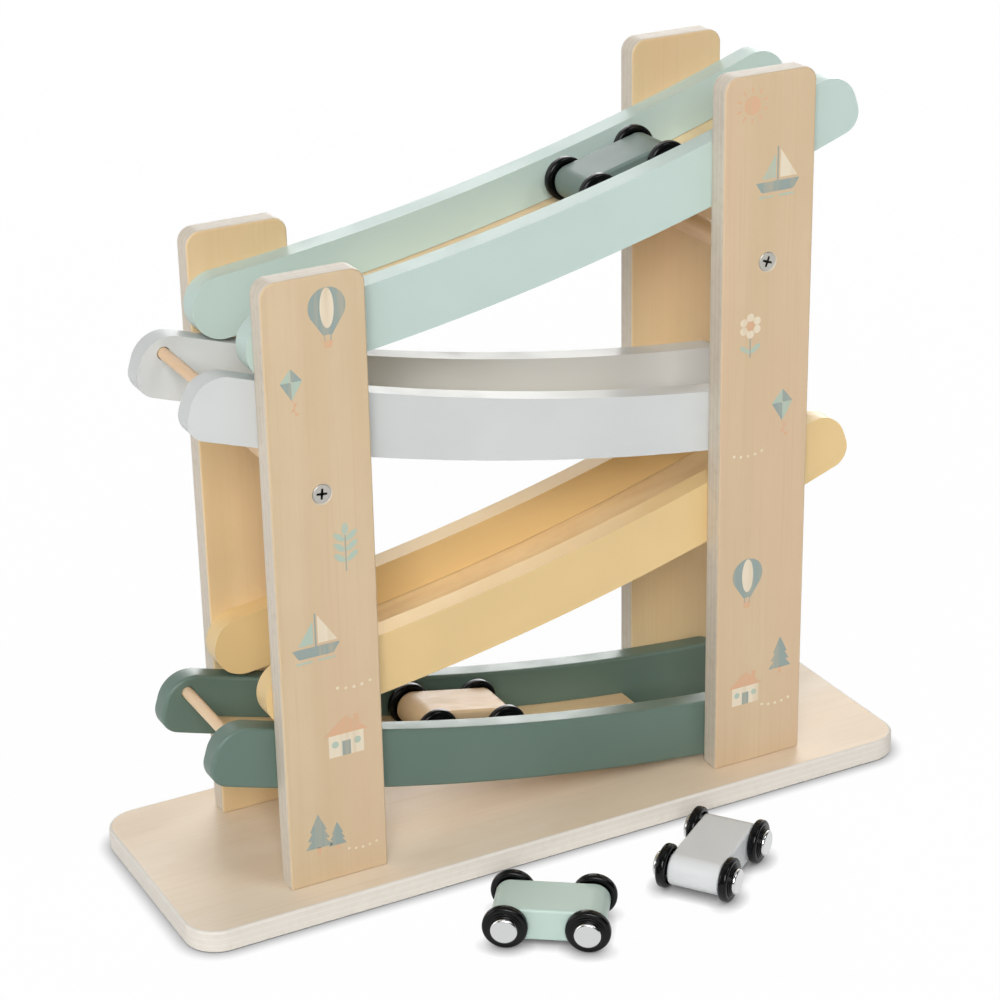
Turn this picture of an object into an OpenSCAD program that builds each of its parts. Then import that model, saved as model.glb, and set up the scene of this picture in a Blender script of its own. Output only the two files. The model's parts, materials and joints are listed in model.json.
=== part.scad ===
// Ramp tower with four cars.
// The origin is at the middle of the base board's underside, +X to the right,
// +Y to the rear and +Z up.

/* [Base] */
// Length of the base board
base_l = 350; // [330:1:420]
// Depth of the base board, front to back
base_w = 113.5; // [105:0.5:150]
// Thickness of the base board
base_t = 10; // [8:0.5:16]
// Radius of the base board's corners in plan
base_corner_r = 15; // [4:0.5:30]

/* [Posts] */
// Distance from the toy's middle to the centre line of each pair of posts
post_x = 104; // [96:0.5:115]
// Width of a post
post_w = 44.5; // [38:0.5:52]
// Thickness of a post
post_t = 10; // [8:0.5:14]
// Radius of a post's top corners
post_corner_r = 8; // [2:0.5:18]
// Height of the left posts above the top edge of the mint rails
left_post_head = 15.5; // [10:0.5:40]
// Height of the right posts above the top edge of the mint rails
right_post_head = 22; // [10:0.5:40]

/* [Ramps] */
// Clear width between the two rails of a ramp
track_w = 44; // [41:0.5:56]
// Thickness of a rail
rail_t = 10; // [8:0.5:14]
// Height of a rail, square to its run
rail_h = 26.9; // [24:0.1:30]
// Radius of the rails' sweep, at mid height
ramp_r = 1118.5; // [950:0.5:1500]
// How far a rail's low end stands out past the posts' centre line
low_overhang = 11.5; // [8:0.5:16]
// How far a rail's high end stands out past the posts' centre line
high_overhang = 36; // [30:0.5:44]
// Radius of the heel under a rail's high end
heel_r = 9; // [5:0.5:12]
// Height of the mint ramp's low end above the base
mint_low_z = 236.9; // [225:0.1:250]
// Rise of the mint ramp from its low end to its high end
mint_rise = 57.3; // [45:0.1:65]
// Height of the white ramp's low end above the base
white_low_z = 162.2; // [150:0.1:170]
// Rise of the white ramp from its low end to its high end
white_rise = 53.4; // [45:0.1:60]
// Height of the yellow ramp's low end above the base
yellow_low_z = 84.6; // [80:0.1:95]
// Rise of the yellow ramp from its low end to its high end
yellow_rise = 57; // [45:0.1:62]
// Gap between the green ramp's low end and the base that it rests over
green_seat_gap = 0.1; // [0.05:0.05:2]
// Rise of the green ramp from its low end to its high end
green_rise = 48.7; // [40:0.1:56]

/* [Floors] */
// Thickness of a ramp's floor
floor_t = 3.5; // [3:0.1:5]
// Depth of the floor's top face below the rails' mid line
floor_drop = 4.9; // [4:0.1:5.5]
// Depth of the groove that holds the floor's edge
groove_d = 2.5; // [1.5:0.1:3.5]
// Gap between the floor's low end and the posts' centre line, where the cars drop
drop_gap = 32.5; // [28:0.5:38]
// How far the floor's high end stands out past the posts' centre line
floor_overhang = 26; // [18:0.5:29]

/* [Dowels] */
// Diameter of a stop dowel
stop_d = 5; // [4:0.1:7]
// How far a stop dowel stands out past the posts' centre line
stop_overhang = 38.5; // [36:0.5:40]
// Height of a stop dowel above the rails' mid line
stop_lift = 5.5; // [3:0.1:7]
// Diameter of a cross dowel
cross_d = 10; // [9:0.5:14]
// Depth of the left cross dowel below the mid line of the white rails
left_cross_drop = 28.2; // [24:0.1:40]
// Depth of the right cross dowel below the mid line of the mint rails
right_cross_drop = 45.7; // [30:0.1:60]
// Diameter of a locating dowel
peg_d = 6; // [4:0.1:8]

/* [Screws] */
// Diameter of a screw's shank
screw_d = 4; // [3:0.1:4.5]
// Diameter of a screw's countersunk head
screw_head_d = 8; // [6.5:0.1:9]
// Height of a screw's countersunk head
screw_head_h = 2.4; // [1.8:0.1:3]
// Length of a screw through a post
post_screw_l = 30; // [22:1:36]
// Depth of the post screws' heads below the posts' faces
post_screw_sink = 0.3; // [0.1:0.1:1]
// Length of a screw through the base board
base_screw_l = 32; // [24:1:45]
// Depth of the base screws' heads below the underside
base_screw_sink = 0.8; // [0.4:0.1:2]

/* [Cars] */
// Length of a car's body
car_l = 48; // [44:0.5:56]
// Width of a car's body
car_w = 23.5; // [20:0.1:26]
// Height of a car's body
car_h = 14.5; // [12:0.1:17]
// Radius of a car's nose and tail, seen from the side
car_end_r = 6.8; // [4:0.1:7.2]
// Radius along a car's long arrises
car_arris_r = 1.2; // [0.5:0.1:3]
// Height of a car's underside above the ground
car_lift = 2; // [1:0.1:4]
// Distance between a car's axles
wheelbase = 34.2; // [30:0.1:38]
// Diameter of an axle
axle_d = 3; // [2:0.1:4]
// Diameter of a wheel
wheel_d = 19; // [17:0.1:22]
// Width of a wheel's tread
wheel_w = 4; // [3:0.1:5]
// Gap between a wheel and the car's side
wheel_gap = 0.35; // [0.2:0.05:0.8]
// Radius of a wheel's shoulders
shoulder_r = 1.2; // [0.4:0.1:1.8]
// Diameter of the ledge on a wheel's outer face
ledge_d = 14.5; // [13.5:0.1:16]
// Height of the ledge above the tread's side
ledge_h = 0.5; // [0.3:0.1:0.8]
// Diameter of the hub inside the ledge
hub_d = 13; // [12:0.1:13.4]
// Height of the hub above the tread's side
hub_h = 1; // [0.9:0.1:1.6]
// Diameter of an axle's cap
cap_d = 11.3; // [8:0.1:12]
// Thickness of a cap
cap_t = 1.4; // [1.2:0.1:2.2]
// Radius round a cap's outer edge
cap_edge_r = 1; // [0.4:0.1:1.1]

/* [Car places] */
// Distance of the mint car to the right of the toy's middle
mint_car_x = -39.2; // [-60:0.1:-30]
// Distance of the mint car in front of the base board
mint_car_out = 50.5; // [45:0.5:80]
// Turn of the mint car, seen from above
mint_car_angle = -35.4; // [-60:0.1:60]
// Distance of the grey car to the right of the toy's middle
grey_car_x = 43; // [30:0.1:80]
// Distance of the grey car in front of the base board
grey_car_out = 45.3; // [43:0.1:80]
// Turn of the grey car, seen from above
grey_car_angle = 36.1; // [-60:0.1:60]
// Distance of the green car on the mint ramp to the right of the toy's middle
green_car_x = 55.1; // [-40:0.1:80]
// Distance of the natural car on the green ramp to the right of the toy's middle
natural_car_x = -26.4; // [-80:0.1:40]

/* [Hidden] */
CAR_NODES = ["body", "axles", "caps",
    "front_left_wheel", "front_right_wheel", "rear_left_wheel", "rear_right_wheel"];

// Smoothness of small circles and of the ramps' wide arcs
$fn = 96;
arc_fn = 720;
// Overrun of every cut past the face that it opens
over = 1;
// Clearance round a dowel, a screw and a floor's edge
seat_fit = 0.1;
// Clearance of a wheel on its axle and of an axle in its body, on the radius
axle_fit = 0.06;
// Clearance between a hub and the cap that keeps it on
cap_fit = 0.15;
// Clearance under a wheel that stands on a ramp
roll_fit = 0.08;
// Depth of a locating dowel in a rail and in a post, of their thickness
peg_rail_share = 0.55;
peg_post_share = 0.65;
// Depth of a stop dowel in a rail, of the rail's thickness
stop_seat_share = 0.5;
// Places of the base screws either side of a post's centre line, of the post's width
base_screw_share = 0.28;
// Length of a screw's point, of its diameter
screw_point_share = 1.5;
// Length, width and depth of a screw's cross slot, of the head's diameter
slot_length_share = 0.58;
slot_width_share = 0.13;
slot_depth_share = 0.18;
// Recess in a wheel's back: its depth, of the tread's width, and its inner and
// outer diameters, of the wheel's
back_depth_share = 0.4;
back_inner_share = 0.42;
back_outer_share = 0.8;
// Depth of the axle's end in its cap, of the cap's thickness
cap_seat_share = 0.5;
// Reach of a sector's sides past the ramps' arc, of its radius
sector_share = 1.1;

birch = "#E2CDB0";
beech = "#DDBB8C";
steel = "#C9CACB";
black = "#1C1D1E";
mint = "#BBCDC6";
white = "#DEDFDC";
yellow = "#E0C38F";
green = "#6B8578";
grey = "#CDCBCB";

// A ramp is its low end's side (-1 left, 1 right), that end's height above the
// base, its rise, whether it has a stop dowel, and its rails' colour
mint_ramp = [-1, mint_low_z, mint_rise, false, mint];
white_ramp = [1, white_low_z, white_rise, true, white];
yellow_ramp = [-1, yellow_low_z, yellow_rise, true, yellow];
green_ramp = [1, rail_h / 2 + green_seat_gap, green_rise, true, green];
ramps = [mint_ramp, white_ramp, yellow_ramp, green_ramp];

low_end_x = post_x + low_overhang;
high_end_x = post_x + high_overhang;
floor_low_x = post_x - drop_gap;
floor_high_x = post_x + floor_overhang;
stop_x = post_x + stop_overhang;
rail_in_y = track_w / 2;
rail_out_y = rail_in_y + rail_t;
post_out_y = rail_out_y + post_t;
post_mid_y = rail_out_y + post_t / 2;
wheel_r = wheel_d / 2;
axle_r = axle_d / 2;
wheel_in_y = car_w / 2 + wheel_gap;
wheel_out_y = wheel_in_y + wheel_w;
hub_y = wheel_out_y + hub_h;
cap_y = hub_y + cap_fit;
axle_end_y = cap_y + cap_t * cap_seat_share;

// Each ramp is drawn with its low end at the left and mirrored where it falls
// the other way: its ends, the centre of its arc and the places along it
function low_end(ramp) = [-low_end_x, base_t + ramp[1]];
function high_end(ramp) = [high_end_x, base_t + ramp[1] + ramp[2]];
function arc_centre(ramp) = let (
    a = low_end(ramp),
    b = high_end(ramp),
    half = norm(b - a) / 2,
    up = [a.y - b.y, b.x - a.x] / norm(b - a))
    (a + b) / 2 + up * sqrt(ramp_r * ramp_r - half * half);
function arc_slope(ramp, x, r = ramp_r) = asin((x - arc_centre(ramp).x) / r);
function arc_point(ramp, x, r = ramp_r) =
    arc_centre(ramp) + r * [sin(arc_slope(ramp, x, r)), -cos(arc_slope(ramp, x, r))];
// Height of a ramp's mid line at a place x of the whole toy
function rail_z(ramp, x) = arc_point(ramp, -ramp[0] * x).y;

left_cross_z = rail_z(white_ramp, -post_x) - left_cross_drop;
right_cross_z = rail_z(mint_ramp, post_x) - right_cross_drop;

// Outline of the outside of a corner, taken off to round it
module corner_cut(r) {
    difference() {
        square(r + over);
        circle(r);
    }
}

// Rectangle about the origin with all its corners rounded
module rounded_rect(l, w, r) {
    difference() {
        square([l, w], center = true);
        for (sx = [0, 1], sy = [0, 1])
            mirror([sx, 0]) mirror([0, sy])
                translate([l / 2 - r, w / 2 - r]) corner_cut(r);
    }
}

// Stands an outline up in the X-Z plane and draws it out from y0 back to y1
module between(y0, y1) {
    translate([0, y1, 0]) rotate([90, 0, 0]) linear_extrude(y1 - y0) children();
}

// Round bar along Y
module bar(x, z, r, y0, y1) {
    translate([x, y1, z]) rotate([90, 0, 0]) cylinder(h = y1 - y0, r = r);
}

// Lays out a ramp's pieces: as drawn, or mirrored where the ramp falls to the right
module on_ramp(ramp) {
    if (ramp[0] > 0) mirror([1, 0, 0]) children();
    else children();
}

// Turns front pieces into rear ones
module on_side(side) {
    if (side > 0) mirror([0, 1, 0]) children();
    else children();
}

// Outline of a curved band between two radii of a ramp's arc, from x0 to x1
module arc_band(ramp, r0, r1, x0, x1) {
    c = arc_centre(ramp);
    intersection() {
        translate(c) difference() {
            circle(r1, $fn = arc_fn);
            circle(r0, $fn = arc_fn);
        }
        polygon([c,
            c + (arc_point(ramp, x0) - c) * sector_share,
            c + (arc_point(ramp, x1) - c) * sector_share]);
    }
}

// Outline of what a rail's blank loses beyond its end: all that lies past the
// tip, and the outsides of its upper and lower corners
module end_cut(top_r, bottom_r) {
    half_h = rail_h / 2;
    translate([half_h, -rail_h]) square([rail_h * 2, rail_h * 2]);
    translate([half_h - top_r, half_h - top_r]) corner_cut(top_r);
    mirror([0, 1]) translate([half_h - bottom_r, half_h - bottom_r]) corner_cut(bottom_r);
}

module rail_outline(ramp) {
    half_h = rail_h / 2;
    difference() {
        arc_band(ramp, ramp_r - half_h, ramp_r + half_h,
            -low_end_x - rail_h, high_end_x + rail_h);
        translate(low_end(ramp)) rotate(arc_slope(ramp, -low_end_x)) mirror([1, 0])
            end_cut(half_h, half_h);
        translate(high_end(ramp)) rotate(arc_slope(ramp, high_end_x))
            end_cut(half_h, heel_r);
    }
}

module rail(ramp, side) {
    stop = arc_point(ramp, stop_x, ramp_r - stop_lift);
    floor_r = ramp_r + floor_drop;
    color(ramp[4]) on_side(side) on_ramp(ramp) difference() {
        between(-rail_out_y, -rail_in_y) rail_outline(ramp);
        // Stopped groove for the floor's edge
        between(-rail_in_y - groove_d, -rail_in_y + over)
            arc_band(ramp, floor_r - seat_fit, floor_r + floor_t + seat_fit,
                -floor_low_x - seat_fit, floor_high_x + seat_fit);
        // Blind holes for the stop dowel and the locating dowels
        if (ramp[3])
            bar(stop.x, stop.y, stop_d / 2 + seat_fit,
                -rail_in_y - rail_t * stop_seat_share, -rail_in_y + over);
        for (x = [-post_x, post_x])
            bar(x, arc_point(ramp, x).y, peg_d / 2 + seat_fit,
                -rail_out_y - over, -rail_out_y + rail_t * peg_rail_share);
    }
}

module ramp_floor(ramp) {
    floor_r = ramp_r + floor_drop;
    half_w = rail_in_y + groove_d - seat_fit;
    color(beech) on_ramp(ramp) between(-half_w, half_w)
        arc_band(ramp, floor_r, floor_r + floor_t, -floor_low_x, floor_high_x);
}

module stop_dowel(ramp) {
    stop = arc_point(ramp, stop_x, ramp_r - stop_lift);
    half_l = rail_in_y + rail_t * stop_seat_share - seat_fit;
    color(beech) on_ramp(ramp) bar(stop.x, stop.y, stop_d / 2, -half_l, half_l);
}

// Countersunk screw, its head's face at the origin and its point up +Z; fit
// widens it into its hole
module screw_shape(l, fit) {
    point_l = screw_d * screw_point_share;
    shank_r = screw_d / 2 + fit;
    cylinder(h = screw_head_h, r1 = screw_head_d / 2 + fit, r2 = shank_r);
    cylinder(h = l - point_l, r = shank_r);
    translate([0, 0, l - point_l]) cylinder(h = point_l, r1 = shank_r, r2 = fit);
}

module screw(l) {
    slot_l = screw_head_d * slot_length_share;
    slot_w = screw_head_d * slot_width_share;
    slot_d = screw_head_d * slot_depth_share;
    difference() {
        screw_shape(l, 0);
        for (turn = [0, 90])
            rotate(turn) translate([-slot_l / 2, -slot_w / 2, -over])
                cube([slot_l, slot_w, slot_d + over]);
    }
}

// A screw's hole, whose countersink opens on past the head's face
module screw_hole(l) {
    mouth_r = screw_head_d / 2 + seat_fit;
    flare = (screw_head_d - screw_d) / 2 / screw_head_h;
    screw_shape(l + seat_fit, seat_fit);
    translate([0, 0, -over]) cylinder(h = over, r1 = mouth_r + over * flare, r2 = mouth_r);
}

// Lays out the screws that come up through the base into the posts' feet
module at_base_screws() {
    for (x = [-post_x, post_x], dx = [-1, 1], side = [-1, 1])
        translate([x + dx * post_w * base_screw_share, side * post_mid_y, base_screw_sink])
            children();
}

// Lays out the screws that go in through the posts to the cross dowels' ends
module at_post_screws() {
    for (place = [[-post_x, left_cross_z], [post_x, right_cross_z]], side = [-1, 1])
        on_side(side) translate([place.x, post_screw_sink - post_out_y, place.y])
            rotate([-90, 0, 0]) children();
}

module base_board() {
    color(birch) difference() {
        linear_extrude(base_t) rounded_rect(base_l, base_w, base_corner_r);
        at_base_screws() screw_hole(base_screw_l);
    }
}

module base_screws() {
    color(steel) at_base_screws() screw(base_screw_l);
}

module post_screws() {
    color(steel) at_post_screws() screw(post_screw_l);
}

module post(x, head, side) {
    h = rail_z(mint_ramp, x) + rail_h / 2 + head - base_t;
    color(birch) difference() {
        on_side(side) between(-post_out_y, -rail_out_y) difference() {
            translate([x - post_w / 2, base_t]) square([post_w, h]);
            for (turn = [0, 1])
                translate([x, base_t + h]) mirror([turn, 0])
                    translate([post_w / 2 - post_corner_r, -post_corner_r])
                        corner_cut(post_corner_r);
        }
        on_side(side) for (ramp = ramps)
            bar(x, rail_z(ramp, x), peg_d / 2 + seat_fit,
                -rail_out_y - post_t * peg_post_share, -rail_out_y + over);
        at_base_screws() screw_hole(base_screw_l);
        at_post_screws() screw_hole(post_screw_l);
    }
}

module locating_dowels() {
    color(beech) for (ramp = ramps, x = [-post_x, post_x], side = [-1, 1])
        on_side(side) bar(x, rail_z(ramp, x), peg_d / 2,
            -rail_out_y - post_t * peg_post_share + seat_fit,
            -rail_out_y + rail_t * peg_rail_share - seat_fit);
}

module cross_dowel(x, z) {
    color(beech) difference() {
        bar(x, z, cross_d / 2, -rail_out_y, rail_out_y);
        at_post_screws() screw_hole(post_screw_l);
    }
}

// A car stands on the ground about its own middle, its nose to +X
module car_body(tint) {
    color(tint) difference() {
        intersection() {
            between(-car_w / 2, car_w / 2)
                translate([0, car_lift + car_h / 2]) rounded_rect(car_l, car_h, car_end_r);
            translate([-car_l / 2, 0, car_lift + car_h / 2]) rotate([90, 0, 90])
                linear_extrude(car_l) rounded_rect(car_w, car_h, car_arris_r);
        }
        for (x = [-wheelbase / 2, wheelbase / 2])
            bar(x, wheel_r, axle_r + axle_fit, -car_w / 2 - over, car_w / 2 + over);
    }
}

module car_axles() {
    color(steel) for (x = [-wheelbase / 2, wheelbase / 2])
        bar(x, wheel_r, axle_r, -axle_end_y, axle_end_y);
}

// A flat disc with a rounded outer edge and a blind seat for the axle's end
module cap() {
    seat_d = axle_end_y - cap_y + seat_fit;
    rotate_extrude() difference() {
        square([cap_d / 2, cap_t]);
        translate([cap_d / 2 - cap_edge_r, cap_t - cap_edge_r]) corner_cut(cap_edge_r);
        translate([0, -over]) square([axle_r + axle_fit, seat_d + over]);
    }
}

module car_caps() {
    color(steel) for (x = [-wheelbase / 2, wheelbase / 2], side = [-1, 1])
        on_side(side) translate([x, -cap_y, wheel_r]) rotate([90, 0, 0]) cap();
}

// Half section of a wheel, its back on the X axis and its axle on the Y axis
module wheel_section() {
    difference() {
        union() {
            difference() {
                square([wheel_r, wheel_w]);
                translate([wheel_r - shoulder_r, wheel_w - shoulder_r]) corner_cut(shoulder_r);
                mirror([0, 1]) translate([wheel_r - shoulder_r, -shoulder_r])
                    corner_cut(shoulder_r);
            }
            translate([0, wheel_w]) square([ledge_d / 2, ledge_h]);
            translate([0, wheel_w]) square([hub_d / 2, hub_h]);
        }
        translate([0, -over]) square([axle_r + axle_fit, wheel_w + hub_h + over + over]);
        translate([wheel_r * back_inner_share, -over])
            square([wheel_r * (back_outer_share - back_inner_share),
                wheel_w * back_depth_share + over]);
    }
}

// One wheel of a car, at its nose (end 1) or tail (end -1), on its left (side 1)
// or right (side -1)
module car_wheel(end, side) {
    color(black) on_side(side) translate([end * wheelbase / 2, -wheel_in_y, wheel_r])
        rotate([90, 0, 0]) rotate_extrude() wheel_section();
}

module car_part(part, tint) {
    if (part == "body") car_body(tint);
    if (part == "axles") car_axles();
    if (part == "caps") car_caps();
    if (part == "front_left_wheel") car_wheel(1, 1);
    if (part == "front_right_wheel") car_wheel(1, -1);
    if (part == "rear_left_wheel") car_wheel(-1, 1);
    if (part == "rear_right_wheel") car_wheel(-1, -1);
}

// Parks a car on the table in front of the base board
module on_table(x, out, turn) {
    translate([x, -base_w / 2 - out, 0]) rotate(turn) children();
}

// Stands a car on a ramp's floor at a place x of the whole toy, both axles on one
// arc about the ramp's centre
module on_floor(ramp, x) {
    c = arc_centre(ramp);
    axle_arc_r = ramp_r + floor_drop - wheel_r - roll_fit;
    mid_r = sqrt(axle_arc_r * axle_arc_r - wheelbase * wheelbase / 4);
    slope = asin((-ramp[0] * x - c.x) / mid_r);
    on_ramp(ramp) translate([c.x, 0, c.y]) rotate([0, -slope, 0])
        translate([0, 0, -mid_r - wheel_r]) children();
}

base_board();
base_screws();
post(-post_x, left_post_head, -1);  // left_front_post
post(-post_x, left_post_head, 1);  // left_rear_post
post(post_x, right_post_head, -1);  // right_front_post
post(post_x, right_post_head, 1);  // right_rear_post
rail(mint_ramp, -1);  // mint_front_rail
rail(mint_ramp, 1);  // mint_rear_rail
ramp_floor(mint_ramp);  // mint_floor
rail(white_ramp, -1);  // white_front_rail
rail(white_ramp, 1);  // white_rear_rail
ramp_floor(white_ramp);  // white_floor
rail(yellow_ramp, -1);  // yellow_front_rail
rail(yellow_ramp, 1);  // yellow_rear_rail
ramp_floor(yellow_ramp);  // yellow_floor
rail(green_ramp, -1);  // green_front_rail
rail(green_ramp, 1);  // green_rear_rail
ramp_floor(green_ramp);  // green_floor
stop_dowel(white_ramp);  // white_stop_dowel
stop_dowel(yellow_ramp);  // yellow_stop_dowel
stop_dowel(green_ramp);  // green_stop_dowel
cross_dowel(-post_x, left_cross_z);  // left_cross_dowel
cross_dowel(post_x, right_cross_z);  // right_cross_dowel
post_screws();
locating_dowels();
for (part = CAR_NODES) {
    on_table(mint_car_x, mint_car_out, mint_car_angle) car_part(part, mint);
    on_table(grey_car_x, grey_car_out, grey_car_angle) car_part(part, grey);
    on_floor(mint_ramp, green_car_x) car_part(part, green);
    on_floor(green_ramp, natural_car_x) car_part(part, beech);
}
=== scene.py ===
"""A wooden ramp tower with four cars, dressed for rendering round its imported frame.

Sizes are in millimetres in the row frame: +X to the right, +Y to the rear, +Z up, with the
origin at the middle of the base board's underside. Each mesh is scaled to metres when it is
finished.
"""

import json
import logging
import math
from dataclasses import dataclass, field
from enum import Enum
from functools import cache

import bmesh
import bpy
from bmesh.types import BMEdge, BMFace, BMesh, BMVert
from mathutils import Matrix, Vector

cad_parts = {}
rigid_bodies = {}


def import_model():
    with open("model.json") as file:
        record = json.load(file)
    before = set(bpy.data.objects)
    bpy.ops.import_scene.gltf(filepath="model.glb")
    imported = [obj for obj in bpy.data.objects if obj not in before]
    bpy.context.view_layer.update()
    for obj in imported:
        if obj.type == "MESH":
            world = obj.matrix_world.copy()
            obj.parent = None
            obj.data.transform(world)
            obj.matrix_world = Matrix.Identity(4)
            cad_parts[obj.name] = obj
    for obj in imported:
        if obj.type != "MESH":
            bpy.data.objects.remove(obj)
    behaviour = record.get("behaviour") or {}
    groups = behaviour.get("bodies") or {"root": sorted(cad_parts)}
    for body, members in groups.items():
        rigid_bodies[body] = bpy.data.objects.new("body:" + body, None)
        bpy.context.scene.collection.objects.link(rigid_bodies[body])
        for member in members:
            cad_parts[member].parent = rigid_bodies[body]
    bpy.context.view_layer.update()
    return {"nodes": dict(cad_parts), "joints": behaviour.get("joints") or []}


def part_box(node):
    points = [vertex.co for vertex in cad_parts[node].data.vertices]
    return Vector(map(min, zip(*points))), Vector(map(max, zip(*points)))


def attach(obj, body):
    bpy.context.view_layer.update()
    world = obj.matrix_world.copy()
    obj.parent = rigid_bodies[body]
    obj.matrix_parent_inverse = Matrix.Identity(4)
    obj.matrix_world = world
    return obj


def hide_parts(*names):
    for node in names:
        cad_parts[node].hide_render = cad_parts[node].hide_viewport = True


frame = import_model()

LOG = logging.getLogger("ramp_tower")
MM = 0.001
CREASE = math.radians(35)  # An edge sharper than this is shaded as an edge.
SQUARE = math.radians(60)  # An edge sharper than this is a corner between flat sides.
NEAR = 0.01  # How far apart two measures may be and still count as the same.
WELD = 0.001  # How far apart two vertices may be and still be merged.
FACING = 0.99  # How much of its normal points a way if a face looks that way.
ROUND_STEPS = 4
LATHE_STEPS = 72
AXIS_Y = Vector((0, 1, 0))
UP = Vector((0, 0, 1))
Link = bpy.types.NodeSocket
Triple = tuple[float, float, float]


def from_hex(code: str) -> Triple:
    """Turns a written sRGB colour into linear values.

    Args:
        code: Six hexadecimal digits, two for each of red, green and blue.

    Returns:
        The linear red, green and blue.
    """
    values = [int(code[i:i + 2], 16) / 255 for i in (0, 2, 4)]
    red, green, blue = (
        v / 12.92 if v <= 0.04045 else ((v + 0.055) / 1.055) ** 2.4 for v in values)
    return red, green, blue


class Axis(Enum):
    """An axis of the row frame, as its place in a vector."""

    X = 0
    Y = 1
    Z = 2


class Nodes:
    """Builds a node tree, a node at a time."""

    def __init__(self, tree: bpy.types.NodeTree) -> None:
        """Takes the tree to build in."""
        self.tree = tree

    def add(self, kind: str, **settings: object) -> bpy.types.Node:
        """Adds a node.

        Args:
            kind: The node's type, without its ShaderNode prefix.
            **settings: Attributes of the node, or values of its inputs by name.

        Returns:
            The new node.
        """
        node = self.tree.nodes.new("ShaderNode" + kind)
        for key, value in settings.items():
            if hasattr(node, key):
                setattr(node, key, value)
            else:
                node.inputs[key.replace("_", " ")].default_value = value
        return node

    def join(self, source: Link, target: Link) -> None:
        """Links one socket to another."""
        self.tree.links.new(source, target)

    def coordinate(self, kind: str, axis: Axis) -> Link:
        """Reads a texture coordinate's part along an axis.

        Args:
            kind: The kind of coordinate, such as Object or Generated.
            axis: The axis.

        Returns:
            The coordinate along it.
        """
        apart = self.add("SeparateXYZ")
        self.join(self.add("TexCoord").outputs[kind], apart.inputs["Vector"])
        return apart.outputs[axis.name]

    def spread(self, value: Link, low: float, high: float, to_low: float,
               to_high: float) -> Link:
        """Maps a stretch of a value's range onto another range, smoothly.

        Args:
            value: The value to map.
            low: Start of the stretch.
            high: End of the stretch.
            to_low: What the start becomes.
            to_high: What the end becomes.

        Returns:
            The mapped value.
        """
        node = self.add("MapRange", interpolation_type="SMOOTHSTEP")
        self.join(value, node.inputs["Value"])
        for key, number in (("From Min", low), ("From Max", high),
                            ("To Min", to_low), ("To Max", to_high)):
            node.inputs[key].default_value = number
        return node.outputs["Result"]

    def calculate(self, operation: str, first: Link, second: Link | float = 0.0) -> Link:
        """Works out a value from one or two others.

        Args:
            operation: The Math node's operation.
            first: The first value.
            second: The second value or number, where the operation takes one.

        Returns:
            The result.
        """
        node = self.add("Math", operation=operation)
        self.join(first, node.inputs[0])
        if isinstance(second, float):
            node.inputs[1].default_value = second
        else:
            self.join(second, node.inputs[1])
        return node.outputs["Value"]

    def seen_by(self, *kinds: str) -> Link:
        """Builds a share that is 1 for some kinds of ray.

        Args:
            *kinds: The rays, such as Camera or Glossy.

        Returns:
            The share.
        """
        path = self.add("LightPath")
        share = path.outputs[f"Is {kinds[0]} Ray"]
        for kind in kinds[1:]:
            share = self.calculate("MAXIMUM", share, path.outputs[f"Is {kind} Ray"])
        return share

    def blend(self, share: Link, first: bpy.types.Node, second: bpy.types.Node,
              output: bpy.types.Node) -> None:
        """Mixes two shaders and gives the mix to the tree's output.

        Args:
            share: How much of the second shader there is.
            first: The first shader.
            second: The second shader.
            output: The output node.
        """
        node = self.add("MixShader")
        self.join(share, node.inputs["Fac"])
        self.join(first.outputs[0], node.inputs[1])
        self.join(second.outputs[0], node.inputs[2])
        self.join(node.outputs[0], output.inputs["Surface"])


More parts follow.
